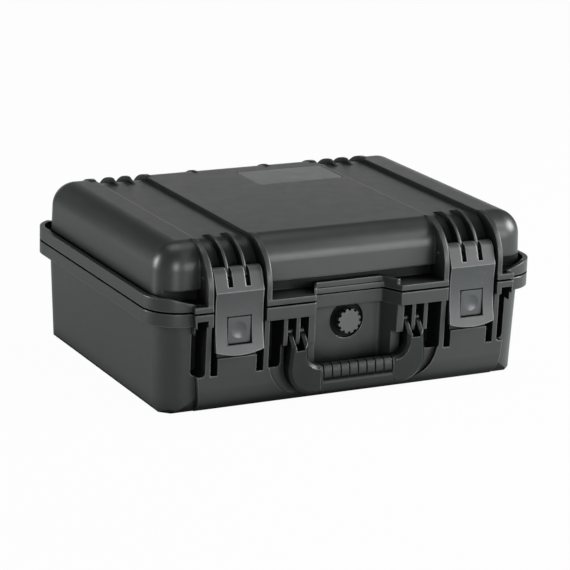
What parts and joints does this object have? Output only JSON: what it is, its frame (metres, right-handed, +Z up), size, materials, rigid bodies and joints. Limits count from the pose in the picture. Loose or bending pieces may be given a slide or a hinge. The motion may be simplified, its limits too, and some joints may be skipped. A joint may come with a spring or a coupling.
{
  "type": "protective hard case",
  "caption": "Moulded protective hard case with ribbed lid, press-and-pull latches, hinged carry handle, padlock holes and a pressure vent.",
  "frame": {"origin": "middle of the flat underside of the base, midway between its left and right walls and between its front and rear flanges", "axes": "+X to the right as seen from the front, +Z up, the latches and handle face -Y and the hinges +Y"},
  "size_m": [0.411, 0.336, 0.164],
  "materials": {
    "shell_plastic": "fine moulded grain, satin on worn edges",
    "latch_plastic": "fine moulded grain, a little lighter than the shells",
    "handle_plastic": "satin moulded",
    "grip_rubber": "matt over-moulding",
    "seal_rubber": "matt",
    "vent_plastic": "satin moulded",
    "pin_steel": "drawn bar",
    "spring_steel": "rolled strip",
    "bare_plate": "plain matt sheet"
  },
  "bodies": {
    "base": {"base_shell": "shell_plastic", "left_hinge_pin": "pin_steel", "right_hinge_pin": "pin_steel", "left_handle_pin": "pin_steel", "right_handle_pin": "pin_steel", "vent_body": "vent_plastic", "vent_cap": "vent_plastic", "vent_nut": "vent_plastic"},
    "lid": {"lid_shell": "shell_plastic", "lid_gasket": "seal_rubber", "name_plate": "bare_plate", "left_latch_pin": "pin_steel", "right_latch_pin": "pin_steel"},
    "left_latch": {"left_latch_lever": "latch_plastic", "left_catch_spring": "spring_steel"},
    "left_button": {"left_latch_button": "latch_plastic"},
    "right_latch": {"right_latch_lever": "latch_plastic", "right_catch_spring": "spring_steel"},
    "right_button": {"right_latch_button": "latch_plastic"},
    "handle": {"handle_frame": "handle_plastic", "handle_grip": "grip_rubber"}
  },
  "joints": [
    {"name": "lid_hinge", "type": "hinge", "parent": "base", "child": "lid", "pos_m": [0, 0.16, 0.103], "axis": [-1, 0, 0], "range_deg": [0, 105]},
    {"name": "left_latch_hinge", "type": "hinge", "parent": "lid", "child": "left_latch", "pos_m": [-0.1243, -0.1515, 0.133], "axis": [-1, 0, 0], "range_deg": [-2.5, 110]},
    {"name": "left_button_press", "type": "slide", "parent": "left_latch", "child": "left_button", "axis": [0, 1, 0], "range_m": [0, 0.003], "stiffness_N_per_m": 900, "deforming": ["left_catch_spring"]},
    {"name": "right_latch_hinge", "type": "hinge", "parent": "lid", "child": "right_latch", "pos_m": [0.1243, -0.1515, 0.133], "axis": [-1, 0, 0], "range_deg": [-2.5, 110]},
    {"name": "right_button_press", "type": "slide", "parent": "right_latch", "child": "right_button", "axis": [0, 1, 0], "range_m": [0, 0.003], "stiffness_N_per_m": 900, "deforming": ["right_catch_spring"]},
    {"name": "handle_hinge", "type": "hinge", "parent": "base", "child": "handle", "pos_m": [0, -0.153, 0.073], "axis": [-1, 0, 0], "range_deg": [0, 85]}
  ]
}
